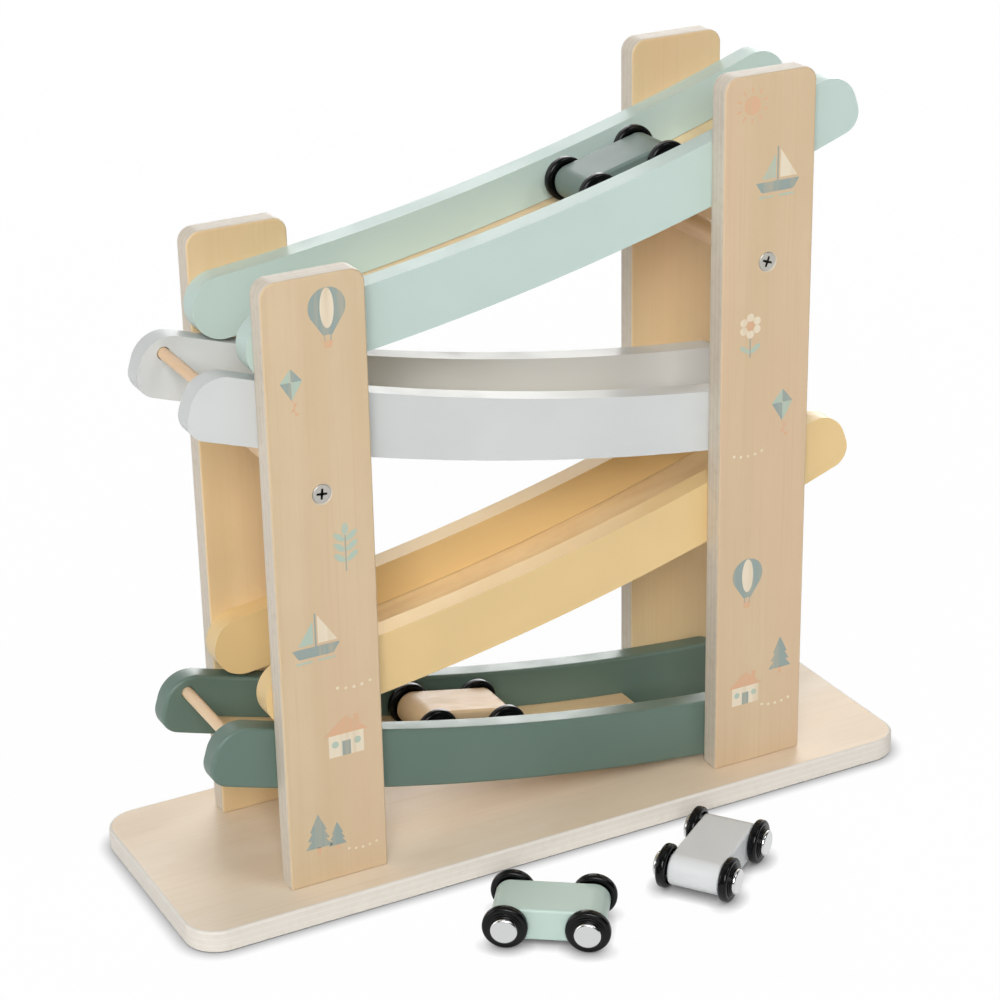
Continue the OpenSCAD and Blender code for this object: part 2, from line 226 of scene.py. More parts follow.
class Recipe(Nodes):
    """Builds one material about its Principled shader."""

    def __init__(self, name: str) -> None:
        """Starts a material.

        Args:
            name: The material's name.
        """
        self.material = bpy.data.materials.new(name)
        self.material.use_nodes = True
        super().__init__(self.material.node_tree)
        self.shader = self.tree.nodes["Principled BSDF"]

    def noise(self, scale: float | Triple, detail: float = 2.0, roughness: float = 0.5,
              distortion: float = 0.0) -> Link:
        """Adds noise on the Object coordinates.

        Args:
            scale: Repeats to a metre, the same along every axis or one for each.
            detail: Octaves of finer noise.
            roughness: How strongly the finer octaves show.
            distortion: How far the pattern is bent.

        Returns:
            The noise value, about a half.
        """
        mapping = self.add("Mapping")
        mapping.inputs["Scale"].default_value = (
            scale if isinstance(scale, tuple) else (scale,) * 3)
        self.join(self.add("TexCoord").outputs["Object"], mapping.inputs["Vector"])
        node = self.add("TexNoise", Scale=1.0, Detail=detail, Roughness=roughness,
                        Distortion=distortion)
        self.join(mapping.outputs["Vector"], node.inputs["Vector"])
        return node.outputs["Fac"]

    def mix(self, share: Link, first: Link | Triple, second: Link | Triple) -> Link:
        """Mixes two colours.

        Args:
            share: How much of the second colour there is.
            first: The first colour.
            second: The second colour.

        Returns:
            The mixed colour.
        """
        node = self.add("Mix", data_type="RGBA")
        self.join(share, node.inputs["Factor"])
        for socket, colour in ((node.inputs[6], first), (node.inputs[7], second)):
            if isinstance(colour, tuple):
                socket.default_value = (*colour, 1)
            else:
                self.join(colour, socket)
        return node.outputs[2]

    def gloss(self, pattern: Link, roughness: float, below: float, above: float) -> Link:
        """Varies a roughness with a pattern, from some way below it to some way above."""
        return self.spread(pattern, 0.3, 0.7, roughness - below, roughness + above)

    def bump(self, height: Link, depth: float, strength: float) -> None:
        """Raises the shader's surface by a height map.

        Args:
            height: The height map, from 0 to 1.
            depth: How far 1 stands above 0, in metres.
            strength: The share of the bump that is used.
        """
        node = self.add("Bump", Distance=depth, Strength=strength)
        self.join(height, node.inputs["Height"])
        self.join(node.outputs["Normal"], self.shader.inputs["Normal"])

    def set(self, **values: Link | float | tuple[float, ...]) -> None:
        """Sets or links the shader's own sockets.

        Args:
            **values: A constant or link for each socket, by its name with _ for a space.
        """
        for key, value in values.items():
            socket = self.shader.inputs[key.replace("_", " ")]
            if isinstance(value, Link):
                self.join(value, socket)
            else:
                socket.default_value = value


@dataclass(frozen=True)
class Finish:
    """The look of a surface.

    A gloss range says how far the roughness goes below and above its value, and a relief
    has its depth in metres and the share of it that shows.
    """

    name: str

    def dress(self, recipe: Recipe) -> None:
        """Sets up a recipe's shader, for each kind of finish in its own way."""
        raise NotImplementedError

    @cache
    def material(self) -> bpy.types.Material:
        """Gives the finish's material, made the first time it is asked for.

        Returns:
            The material.
        """
        recipe = Recipe(self.name)
        self.dress(recipe)
        return recipe.material


@dataclass(frozen=True)
class Paint(Finish):
    """Satin paint over sanded wood."""

    colour: str
    roughness: float = 0.42
    mottle: float = 0.05
    specular: float = 0.5
    gloss_range: tuple[float, float] = (0.05, 0.05)
    relief: tuple[float, float] = (0.00002, 0.35)

    def dress(self, recipe: Recipe) -> None:
        """Adds a slow mottle, a fine orange peel and the grain beneath.

        Args:
            recipe: The recipe to work on.
        """
        colour = from_hex(self.colour)
        deeper = tuple(c * (1 - self.mottle) for c in colour)
        slow, peel, fibres = (recipe.noise(scale) for scale in (16, 700, (25, 600, 600)))
        tint = recipe.mix(recipe.spread(slow, 0.35, 0.65, 0, 1), colour, deeper)
        recipe.bump(recipe.calculate("ADD", peel, fibres), *self.relief)
        gloss = recipe.gloss(recipe.noise(60, detail=3), self.roughness, *self.gloss_range)
        recipe.set(Base_Color=tint, Roughness=gloss, Specular_IOR_Level=self.specular)


@dataclass(frozen=True)
class Layer:
    """One of the patterns in a veneer.

    Attributes:
        along: Repeats to a metre along the fibres.
        across: Repeats to a metre across them.
        start: The noise value at which the pattern begins to show.
        full: The noise value at which it shows in full.
        detail: Octaves of finer noise.
        roughness: How strongly the finer octaves show.
        distortion: How far the pattern is bent.
    """

    along: float
    across: float
    start: float
    full: float
    detail: float = 2.0
    roughness: float = 0.5
    distortion: float = 0.0


BANDS = Layer(4, 60, 0.3, 0.72, detail=4, roughness=0.55, distortion=0.4)
CLOUDS = Layer(18, 34, 0.38, 0.7, detail=3, roughness=0.6)
FLUSHES = Layer(3, 22, 0.4, 0.68)
FIBRES = Layer(14, 700, 0.5, 0.75)
FLECKS = Layer(170, 1500, 0.64, 0.74, detail=1)


@dataclass(frozen=True)
class Veneer(Finish):
    """Pale lacquered wood with fine grain."""

    light: str
    dark: str
    flush: str
    grain: Axis
    roughness: float = 0.5
    streak: float = 1.0
    cloud: float = 0.0
    fleck: float = 0.25
    blush: float = 0.75
    fibre: float = 0.3
    gloss_range: tuple[float, float] = (0.06, 0.06)
    relief: tuple[float, float] = (0.00003, 0.25)

    def pattern(self, recipe: Recipe, layer: Layer) -> Link:
        """Adds a layer's noise, with its long way on the grain.

        Args:
            recipe: The recipe to work on.
            layer: The layer.

        Returns:
            The noise value.
        """
        scale = [layer.across] * 3
        scale[self.grain.value] = layer.along
        return recipe.noise(tuple(scale), layer.detail, layer.roughness, layer.distortion)

    def dress(self, recipe: Recipe) -> None:
        """Adds bands, clouds, a slow flush of colour, fibres and flecks.

        Args:
            recipe: The recipe to work on.
        """
        tint, dark, flush = (from_hex(c) for c in (self.light, self.dark, self.flush))
        patterns = {}
        for layer, share, towards in (
                (BANDS, self.streak, dark), (CLOUDS, self.cloud, dark),
                (FLUSHES, self.blush, flush), (FIBRES, self.fibre, dark),
                (FLECKS, self.fleck, dark)):
            patterns[layer] = self.pattern(recipe, layer)
            shown = recipe.spread(patterns[layer], layer.start, layer.full, 0, share)
            tint = recipe.mix(shown, tint, towards)
        fibres = patterns[FIBRES]
        recipe.bump(recipe.calculate("ADD", fibres, patterns[FLECKS]), *self.relief)
        gloss = recipe.gloss(fibres, self.roughness, *self.gloss_range)
        recipe.set(Base_Color=tint, Roughness=gloss)


@dataclass(frozen=True)
class PlyEdge(Finish):
    """Whitewashed plywood seen edge on: thin plies stacked along one axis."""

    wash: str
    line: str
    stack: Axis
    ply: float
    contrast: float = 1.0
    roughness: float = 0.55
    glue: float = 0.5
    odd_ply: float = 0.22
    streak: float = 0.35
    relief: tuple[float, float] = (0.00004, 0.3)

    def dress(self, recipe: Recipe) -> None:
        """Adds a tone for each ply, a streaky wash and fine glue lines.

        Args:
            recipe: The recipe to work on.
        """
        wash, line = from_hex(self.wash), from_hex(self.line)
        depth = recipe.calculate("ABSOLUTE", recipe.coordinate("Object", self.stack))
        plies = recipe.calculate("DIVIDE", depth, self.ply * MM)
        within = recipe.calculate("FRACT", plies)
        off_middle = recipe.calculate("ABSOLUTE", recipe.calculate("SUBTRACT", within, 0.5))
        odd = recipe.calculate("PINGPONG", recipe.calculate("FLOOR", plies), 1.0)
        streaks = recipe.noise(260, detail=4, roughness=0.6)
        tone = wash
        for share in (
                recipe.calculate("MULTIPLY", odd, self.odd_ply * self.contrast),
                recipe.spread(streaks, 0.45, 0.75, 0, self.streak * self.contrast),
                recipe.spread(off_middle, 0.40, 0.49, 0, self.glue * self.contrast)):
            tone = recipe.mix(share, tone, line)
        recipe.bump(streaks, *self.relief)
        recipe.set(Base_Color=tone, Roughness=self.roughness)


@dataclass(frozen=True)
class Metal(Finish):
    """Plated or polished steel."""

    colour: str
    roughness: float
    streak: float

    def dress(self, recipe: Recipe) -> None:
        """Adds fine handling marks in the gloss.

        Args:
            recipe: The recipe to work on.
        """
        marks = recipe.noise(900, detail=3)
        gloss = recipe.spread(marks, 0.35, 0.7, self.roughness, self.roughness + self.streak)
        recipe.set(Base_Color=(*from_hex(self.colour), 1), Roughness=gloss, Metallic=1.0)


@dataclass(frozen=True)
class Moulding(Finish):
    """Glossy moulded plastic."""

    colour: str
    roughness: float
    specular: float = 0.22
    gloss_range: tuple[float, float] = (0.04, 0.06)
    relief: tuple[float, float] = (0.00001, 0.2)

    def dress(self, recipe: Recipe) -> None:
        """Adds a faint flow texture in the gloss.

        Args:
            recipe: The recipe to work on.
        """
        flow = recipe.noise(300)
        gloss = recipe.gloss(flow, self.roughness, *self.gloss_range)
        recipe.bump(flow, *self.relief)
        recipe.set(Base_Color=(*from_hex(self.colour), 1), Roughness=gloss,
                   Specular_IOR_Level=self.specular)


@dataclass(frozen=True)
class Ink(Finish):
    """Flat printing ink that lets a little of the grain through."""

    colour: str
    wood: str = "CDB590"
    roughness: float = 0.55
    worn: tuple[float, float] = (0.02, 0.45)

    def dress(self, recipe: Recipe) -> None:
        """Thins the ink along the fibres of the post.

        Args:
            recipe: The recipe to work on.
        """
        fibres = recipe.noise((420, 420, 16), detail=3)
        tint = recipe.mix(recipe.spread(fibres, 0.42, 0.75, *self.worn),
                          from_hex(self.colour), from_hex(self.wood))
        recipe.set(Base_Color=tint, Roughness=self.roughness)


PLY = 10 / 7  # Seven plies in a board of 10 mm.
POST_FACE = Veneer("post_veneer", "D5BF9D", "CBB18D", "D6B999", Axis.Z, streak=0.6,
                   cloud=0.35)
# The rear posts are the same wood as the front ones; their veneer is made deeper and more
# golden as painted shade and painted warm bounce light.
SHADED_REAR_POST_FACE = Veneer("rear_post_veneer", "DFC69A", "D6B98A", "E2BE95", Axis.Z,
                        streak=0.6, cloud=0.35)
POST_EDGE = PlyEdge("post_ply_edge", "D6CCBD", "BCAE9A", Axis.Y, PLY)
BASE_FACE = Veneer("base_veneer", "E9DAC4", "DBC6AA", "E6D0B4", Axis.X, streak=0.15,
                   cloud=0.5, fleck=0.12)
BASE_EDGE = PlyEdge("base_ply_edge", "E3DDD4", "CBC1B2", Axis.Z, PLY, contrast=0.6)
BEECH = Veneer("beech", "F4DDB1", "E3C495", "EED0A9", Axis.X, fleck=0.5)
DOWEL_BEECH = Veneer("dowel_beech", "EDD2B0", "DCBC95", "E9C8A6", Axis.Y, fleck=0.5)
CAR_BEECH = Veneer("car_beech", "CBB08C", "C2A479", "C8AA86", Axis.X, 0.48,
                   streak=0.5, fleck=0.3)
MINT_RAIL = Paint("mint_rail_paint", "C0D3CC", specular=0.37)
WHITE_RAIL = Paint("white_rail_paint", "D2D5D4", specular=0.08)
YELLOW_RAIL = Paint("yellow_rail_paint", "E4C68E")
GREEN_RAIL = Paint("green_rail_paint", "5F766B", specular=0.58)
MINT_CAR = Paint("mint_car_paint", "BDD2C9", roughness=0.38)
GREY_CAR = Paint("grey_car_paint", "DBDEDF", roughness=0.38)
GREEN_CAR = Paint("green_car_paint", "70817A", roughness=0.38, specular=0.3)
SCREW_STEEL = Metal("screw_steel", "C9C6BF", 0.42, 0.12)
# Dark steel for the cross recess: painted shade standing in for the shade inside the recess.
RECESS_PAINTED_SHADE = Metal("screw_recess_painted_shade", "3B3A37", 0.5, 0.1)
AXLE_STEEL = Metal("axle_steel", "B9BABB", 0.3, 0.1)
CAP_STEEL = Metal("cap_steel", "D2D4D3", 0.2, 0.02)
WHEEL_BLACK = Moulding("wheel_black", "08090A", 0.22)
SLATE_INK = Ink("slate_ink", "92A19D")
MIST_INK = Ink("mist_ink", "AFC2B4")
CREAM_INK = Ink("cream_ink", "E6D9C2")
PEACH_INK = Ink("peach_ink", "D9AE8C")
INKS = [SLATE_INK, MIST_INK, CREAM_INK, PEACH_INK]


def verts_in(geom: list[BMVert | BMEdge | BMFace]) -> list[BMVert]:
    """Picks the vertices out of the geometry that an operator gives back."""
    return [v for v in geom if isinstance(v, BMVert)]


def spin_point(bm: BMesh, start: BMVert, centre: Vector, turn: float, steps: int) -> BMVert:
    """Draws an arc about a line along +Y, by an angle from +Z towards +X."""
    made = bmesh.ops.spin(bm, geom=[start], cent=centre, axis=AXIS_Y, angle=turn,
                          steps=steps, use_duplicate=False)
    return verts_in(made["geom_last"])[0]


def draw_to(bm: BMesh, start: BMVert, end: Vector) -> BMVert:
    """Draws a straight edge from a vertex.

    Args:
        bm: The mesh.
        start: The vertex that the edge starts from.
        end: Where it ends.

    Returns:
        The vertex at its end.
    """
    made = bmesh.ops.extrude_vert_indiv(bm, verts=[start])["verts"][0]
    made.co = end
    return made


def block(middle: Vector, size: Vector) -> BMesh:
    """Makes a box.

    Args:
        middle: The box's middle.
        size: Its size along X, Y and Z.

    Returns:
        The box's mesh.
    """
    bm = bmesh.new()
    bmesh.ops.create_cube(bm, size=1, matrix=Matrix.Translation(middle)
                          @ Matrix.Diagonal((*size, 1)))
    return bm


def edges_along(bm: BMesh, axis: Axis) -> list[BMEdge]:
    """Lists a box's edges along an axis."""
    runs = [(e, e.verts[1].co - e.verts[0].co) for e in bm.edges]
    return [e for e, run in runs if abs(run[axis.value]) > NEAR]


def round_off(bm: BMesh, edges: list[BMEdge], radius: float,
              segments: int = ROUND_STEPS) -> None:
    """Rounds edges by a radius, in a number of steps."""
    bmesh.ops.bevel(bm, geom=edges, offset=radius, offset_type="OFFSET", affect="EDGES",
                    segments=segments, profile=0.5, material=-1, clamp_overlap=True)


def creased(bm: BMesh, least: float = CREASE) -> list[BMEdge]:
    """Lists the edges whose two faces meet at more than an angle."""
    return [e for e in bm.edges if e.is_manifold and e.calc_face_angle() > least]


def flat_face(bm: BMesh, way: Vector) -> BMFace:
    """Finds the largest face that looks a way."""
    facing = [f for f in bm.faces if f.normal.dot(way) > FACING]
    return max(facing, key=lambda f: f.calc_area())


@dataclass(frozen=True)
class Hole:
    """A blind hole sunk into a flat face.

    Attributes:
        rim: The rim's edges, drawn in the face's plane.
        steps: Each next rim as its depth below the face and its size as a share of the
            first one.
    """

    rim: list[BMEdge]
    steps: tuple[tuple[float, float], ...]


def circle_rim(bm: BMesh, centre: Vector, way: Vector, radius: float,
               segments: int = 48) -> list[BMEdge]:
    """Draws a loose circle.

    Args:
        bm: The mesh.
        centre: The circle's centre.
        way: The circle's axis.
        radius: Its radius.
        segments: How many edges it has.

    Returns:
        Its edges.
    """
    turn = way.to_track_quat("Z", "Y").to_matrix().to_4x4()
    made = bmesh.ops.create_circle(bm, cap_ends=False, segments=segments, radius=radius,
                                   matrix=Matrix.Translation(centre) @ turn)
    return list({e for v in made["verts"] for e in v.link_edges})


def corner_rim(bm: BMesh, corners: list[Vector]) -> list[BMEdge]:
    """Draws a loose closed outline through corners, in order."""
    points = [bm.verts.new(corner) for corner in corners]
    return [bm.edges.new(pair) for pair in zip(points, points[1:] + points[:1])]


def lathe(bm: BMesh, points: list[tuple[float, float]], closed: bool) -> None:
    """Turns a section about +Y through the origin.

    Args:
        bm: An empty mesh.
        points: The section, as radius and distance along +Y.
        closed: Whether the last point is joined to the first.
    """
    corners = [bm.verts.new((r, y, 0)) for r, y in points]
    ends = corners[1:] + corners[:1] if closed else corners[1:]
    edges = [bm.edges.new(pair) for pair in zip(corners, ends)]
    bmesh.ops.spin(bm, geom=corners + edges, cent=Vector(), axis=AXIS_Y, angle=math.tau,
                   steps=LATHE_STEPS, use_merge=True, use_duplicate=False)
    bmesh.ops.remove_doubles(bm, verts=bm.verts, dist=WELD)
    bmesh.ops.recalc_face_normals(bm, faces=bm.faces)


def round_ring(bm: BMesh, ring_radius: float, ring_y: float, radius: float) -> None:
    """Rounds the ring of edges at a radius and a distance along +Y of a turned shape."""
    edges = [e for e in bm.edges if all(
        abs(math.hypot(v.co.x, v.co.z) - ring_radius) < NEAR
        and abs(v.co.y - ring_y) < NEAR for v in e.verts)]
    round_off(bm, edges, radius)


def thicken(bm: BMesh, faces: list[BMFace], run: Vector) -> None:
    """Gives faces a thickness along a run and keeps them as one of its sides."""
    grown = bmesh.ops.extrude_face_region(bm, geom=faces, use_keep_orig=True)["geom"]
    bmesh.ops.translate(bm, vec=run, verts=verts_in(grown))


def to_mesh(bm: BMesh, name: str) -> bpy.types.Mesh:
    """Turns a mesh that is being edited into a stored one.

    Args:
        bm: The mesh. It is freed.
        name: The stored mesh's name.

    Returns:
        The stored mesh.
    """
    mesh = bpy.data.meshes.new(name)
    bm.to_mesh(mesh)
    bm.free()
    return mesh


def add_object(name: str, data: bpy.types.ID) -> bpy.types.Object:
    """Adds an object to the scene.

    Args:
        name: Its name.
        data: Its mesh, lamp or camera.

    Returns:
        The object.
    """
    added = bpy.data.objects.new(name, data)
    bpy.context.scene.collection.objects.link(added)
    return added


def add_to(whole: BMesh, part: BMesh, place: Matrix) -> None:
    """Moves a shape to its place and adds it to a larger mesh.

    Args:
        whole: The mesh that takes the shape.
        part: The shape. It is freed.
        place: Where it goes.
    """
    bmesh.ops.transform(part, matrix=place, verts=part.verts)
    if place.determinant() < 0:
        bmesh.ops.reverse_faces(part, faces=part.faces)
    mesh = to_mesh(part, "part")
    whole.from_mesh(mesh)
    bpy.data.meshes.remove(mesh)


def middle_of(edges: list[BMEdge]) -> Vector:
    """Finds the middle of a loop of edges."""
    corners = {v for e in edges for v in e.verts}
    return sum((v.co for v in corners), Vector()) / len(corners)


def sink(bm: BMesh, face: BMFace, holes: list[Hole]) -> None:
    """Opens holes in a flat face, with their walls and bottoms.

    Args:
        bm: The mesh.
        face: The face that the holes open in.
        holes: The holes, their rims drawn in the face's plane.
    """
    way = face.normal.copy()
    border = list(face.edges)
    bmesh.ops.delete(bm, geom=[face], context="FACES_ONLY")
    for hole in holes:
        loop, sunk, size = list(hole.rim), 0.0, 1.0
        for depth, share in hole.steps:
            made = bmesh.ops.extrude_edge_only(bm, edges=loop)["geom"]
            corners = verts_in(made)
            loop = [e for e in made
                    if isinstance(e, BMEdge) and all(v in corners for v in e.verts)]
            centre = middle_of(loop)
            bmesh.ops.translate(bm, vec=-way * (depth - sunk), verts=corners)
            centre -= way * (depth - sunk)
            bmesh.ops.scale(bm, vec=Vector((1, 1, 1)) * (share / size), verts=corners,
                            space=Matrix.Translation(-centre))
            sunk, size = depth, share
        bmesh.ops.triangle_fill(bm, use_beauty=True, edges=loop)
    rims = [e for hole in holes for e in hole.rim]
    bmesh.ops.triangle_fill(bm, use_beauty=True, edges=border + rims, normal=way)


def finish_piece(bm: BMesh, name: str, body: str, finishes: list[Finish],
                 stands_for: tuple[str, ...] = ()) -> None:
    """Turns a mesh in millimetres into a dressed piece that rides on a body.

    Args:
        bm: The mesh, in millimetres in the row frame. It is freed.
        name: The piece's name.
        body: The body that it moves with.
        finishes: The finishes, in the order of the faces' material numbers.
        stands_for: The CAD nodes that it replaces.
    """
    bmesh.ops.scale(bm, vec=Vector((MM, MM, MM)), verts=bm.verts)
    bmesh.ops.recalc_face_normals(bm, faces=bm.faces)
    for face in bm.faces:
        face.smooth = True
    mesh = to_mesh(bm, name)
    mesh.set_sharp_from_angle(angle=CREASE)
    for finish in finishes:
        mesh.materials.append(finish.material())
    piece = add_object(name, mesh)
    evened = piece.modifiers.new("evened_normals", "WEIGHTED_NORMAL")
    evened.keep_sharp = True
    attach(piece, body)
    if stands_for:
        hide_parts(*stands_for)
    LOG.info("made %s: %d faces on %s", name, len(mesh.polygons), body)


def dress_node(node: str, finish: Finish) -> None:
    """Gives a CAD node that shows as it is its finish.

    Args:
        node: The node's name.
        finish: Its finish.
    """
    mesh = frame["nodes"][node].data
    mesh.materials.clear()
    mesh.materials.append(finish.material())
    LOG.info("dressed %s in %s", node, finish.name)


def box_mm(node: str) -> tuple[Vector, Vector]:
    """Gives a CAD node's lowest and highest corners in millimetres."""
    low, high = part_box(node)
    return low / MM, high / MM


def paint_sides(bm: BMesh, way: Vector, least: float = FACING) -> None:
    """Numbers the faces that look neither along a way nor against it as material 1.

    Args:
        bm: The mesh.
        way: The way that the broad faces look, or its opposite.
        least: The least part of a broad face's normal along it.
    """
    bm.normal_update()
    for face in bm.faces:
        face.material_index = 0 if abs(face.normal.dot(way)) > least else 1


BASE_SCREWS = [(x, y, 0.0) for x in (-116.46, -91.54, 91.54, 116.46) for y in (-37.0, 37.0)]
POST_X = 104.0
POST_SCREWS = {"left": (-POST_X, 186.0), "right": (POST_X, 246.5)}
POST_FACE_Y = 42.0
BASE_SCREW_SINK = 0.8
POST_SCREW_SINK = 0.3


@dataclass
class BaseBoard:
    """The plywood board that everything stands on."""

    corner: float = 15.0
    corner_steps: int = 18
    arris: float = 1.3
    screw_rim: float = 4.77
    screw_steps: tuple[tuple[float, float], ...] = ((0.8, 0.86), (3.2, 0.45), (8.0, 0.45))

    def build(self) -> None:
        """Makes the board, with the countersinks of its screws underneath."""
        low, high = box_mm("base_board")
        bm = block((low + high) / 2, high - low)
        round_off(bm, edges_along(bm, Axis.Z), self.corner, self.corner_steps)
        round_off(bm, creased(bm), self.arris)
        bm.normal_update()
        sink(bm, flat_face(bm, -UP), [
            Hole(circle_rim(bm, Vector(place), -UP, self.screw_rim), self.screw_steps)
            for place in BASE_SCREWS])
        paint_sides(bm, UP)
        finish_piece(bm, "base_board_dressed", "frame",
                     [BASE_FACE, BASE_EDGE], ("base_board",))


@dataclass
class Post:
    """One upright plywood post."""

    node: str
    corner: float = 6.4
    corner_steps: int = 12
    arris: float = 0.9
    arris_steps: int = 3
    broad_share: float = 0.7
    screw_rim: float = 4.5
    screw_steps: tuple[tuple[float, float], ...] = ((2.8, 0.48), (8.0, 0.48))

    def build(self) -> None:
        """Makes the post, with the countersink of its screw in the outer face."""
        low, high = box_mm(self.node)
        bm = block((low + high) / 2, high - low)
        top = [e for e in edges_along(bm, Axis.Y) if e.verts[0].co.z > high.z - NEAR]
        round_off(bm, top, self.corner, self.corner_steps)
        round_off(bm, creased(bm), self.arris, self.arris_steps)
        bm.normal_update()
        outward = AXIS_Y * (1 if low.y > 0 else -1)
        screw_x, screw_z = POST_SCREWS[self.node.split("_")[0]]
        middle = Vector((screw_x, outward.y * POST_FACE_Y, screw_z))
        rim = circle_rim(bm, middle, outward, self.screw_rim)
        sink(bm, flat_face(bm, outward), [Hole(rim, self.screw_steps)])
        paint_sides(bm, AXIS_Y, self.broad_share)
        # Rear posts take the veneer with painted shade and painted warm bounce light in its
        # colour.
        finish_piece(bm, self.node + "_dressed", "frame",
                     [SHADED_REAR_POST_FACE if low.y > 0 else POST_FACE, POST_EDGE],
                     (self.node,))


@dataclass
class Screws:
    """Countersunk screws, each with a cross recess whose faces are painted dark as painted
    shade, as one piece.
    """

    node: str
    length: float
    heads: list[tuple[Vector, Vector]]
    head_radius: float = 3.95
    head_height: float = 2.4
    shank_radius: float = 2.0
    point: float = 6.0
    arm: float = 2.35
    half_width: float = 0.55
    arm_taper: float = 0.8
    recess: float = 1.7
    recess_share: float = 0.35
    edge_inset: float = 0.15
    edge_fall: float = 0.12
    edge_depth: float = 0.3
    first_turn: float = -0.1
    next_turn: float = -0.13

    def one(self) -> BMesh:
        """Makes a screw whose head's face lies at the origin and looks along +Y.

        Returns:
            The mesh.
        """
        bm = bmesh.new()
        lathe(bm, [(self.head_radius - self.edge_inset, 0.0),
                   (self.head_radius, -self.edge_fall),
                   (self.head_radius, -self.edge_depth),
                   (self.shank_radius, -self.head_height),
                   (self.shank_radius, self.point - self.length), (0.0, -self.length)],
              closed=False)
        border = [e for e in bm.edges if e.is_boundary]
        face = bmesh.ops.contextual_create(bm, geom=border)["faces"][0]
        bmesh.ops.recalc_face_normals(bm, faces=bm.faces)
        near, far = self.half_width, self.arm
        tip = near * self.arm_taper
        quarter = [(near, near), (far, tip), (far, -tip)]
        turns = [Matrix.Rotation(math.pi / 2 * i, 3, "Y") for i in range(4)]
        corners = [turn @ Vector((x, 0, z)) for turn in turns for x, z in quarter]
        steps = ((self.recess, self.recess_share),)
        sink(bm, face, [Hole(corner_rim(bm, corners), steps)])
        # Faces inside the cross recess take material 1, the dark steel that paints the
        # recess's shade.
        for face in bm.faces:
            middle = face.calc_center_median()
            inside = math.hypot(middle.x, middle.z) < self.arm
            face.material_index = int(inside and -self.recess - NEAR < middle.y < -NEAR)
        return bm

    def build(self) -> None:
        """Makes all the screws."""
        whole = bmesh.new()
        for number, (middle, way) in enumerate(self.heads):
            turn = way.to_track_quat("Y", "Z").to_matrix().to_4x4()
            driven = Matrix.Rotation(self.first_turn + self.next_turn * number, 4, "Y")
            add_to(whole, self.one(), Matrix.Translation(middle) @ turn @ driven)
        finish_piece(whole, self.node + "_dressed", "frame",
                     [SCREW_STEEL, RECESS_PAINTED_SHADE], (self.node,))


class Picture(Enum):
    """The pictures that can be printed on a post, with the methods that draw them."""

    SUN = "sun"
    BALLOON = "balloon"
    KITE = "kite"
    BOAT = "boat"
    HOUSE = "house"
    FIR = "fir"
    SPRIG = "sprig"
    FLOWER = "flower"
    DOTS = "dots"


@dataclass(frozen=True)
class Print:
    """One picture on a post.

    Attributes:
        picture: What it shows.
        across: Its place to the right of the post's middle.
        up: Its height above the ground.
        size: Its scale.
    """

    picture: Picture
    across: float
    up: float
    size: float = 1.0


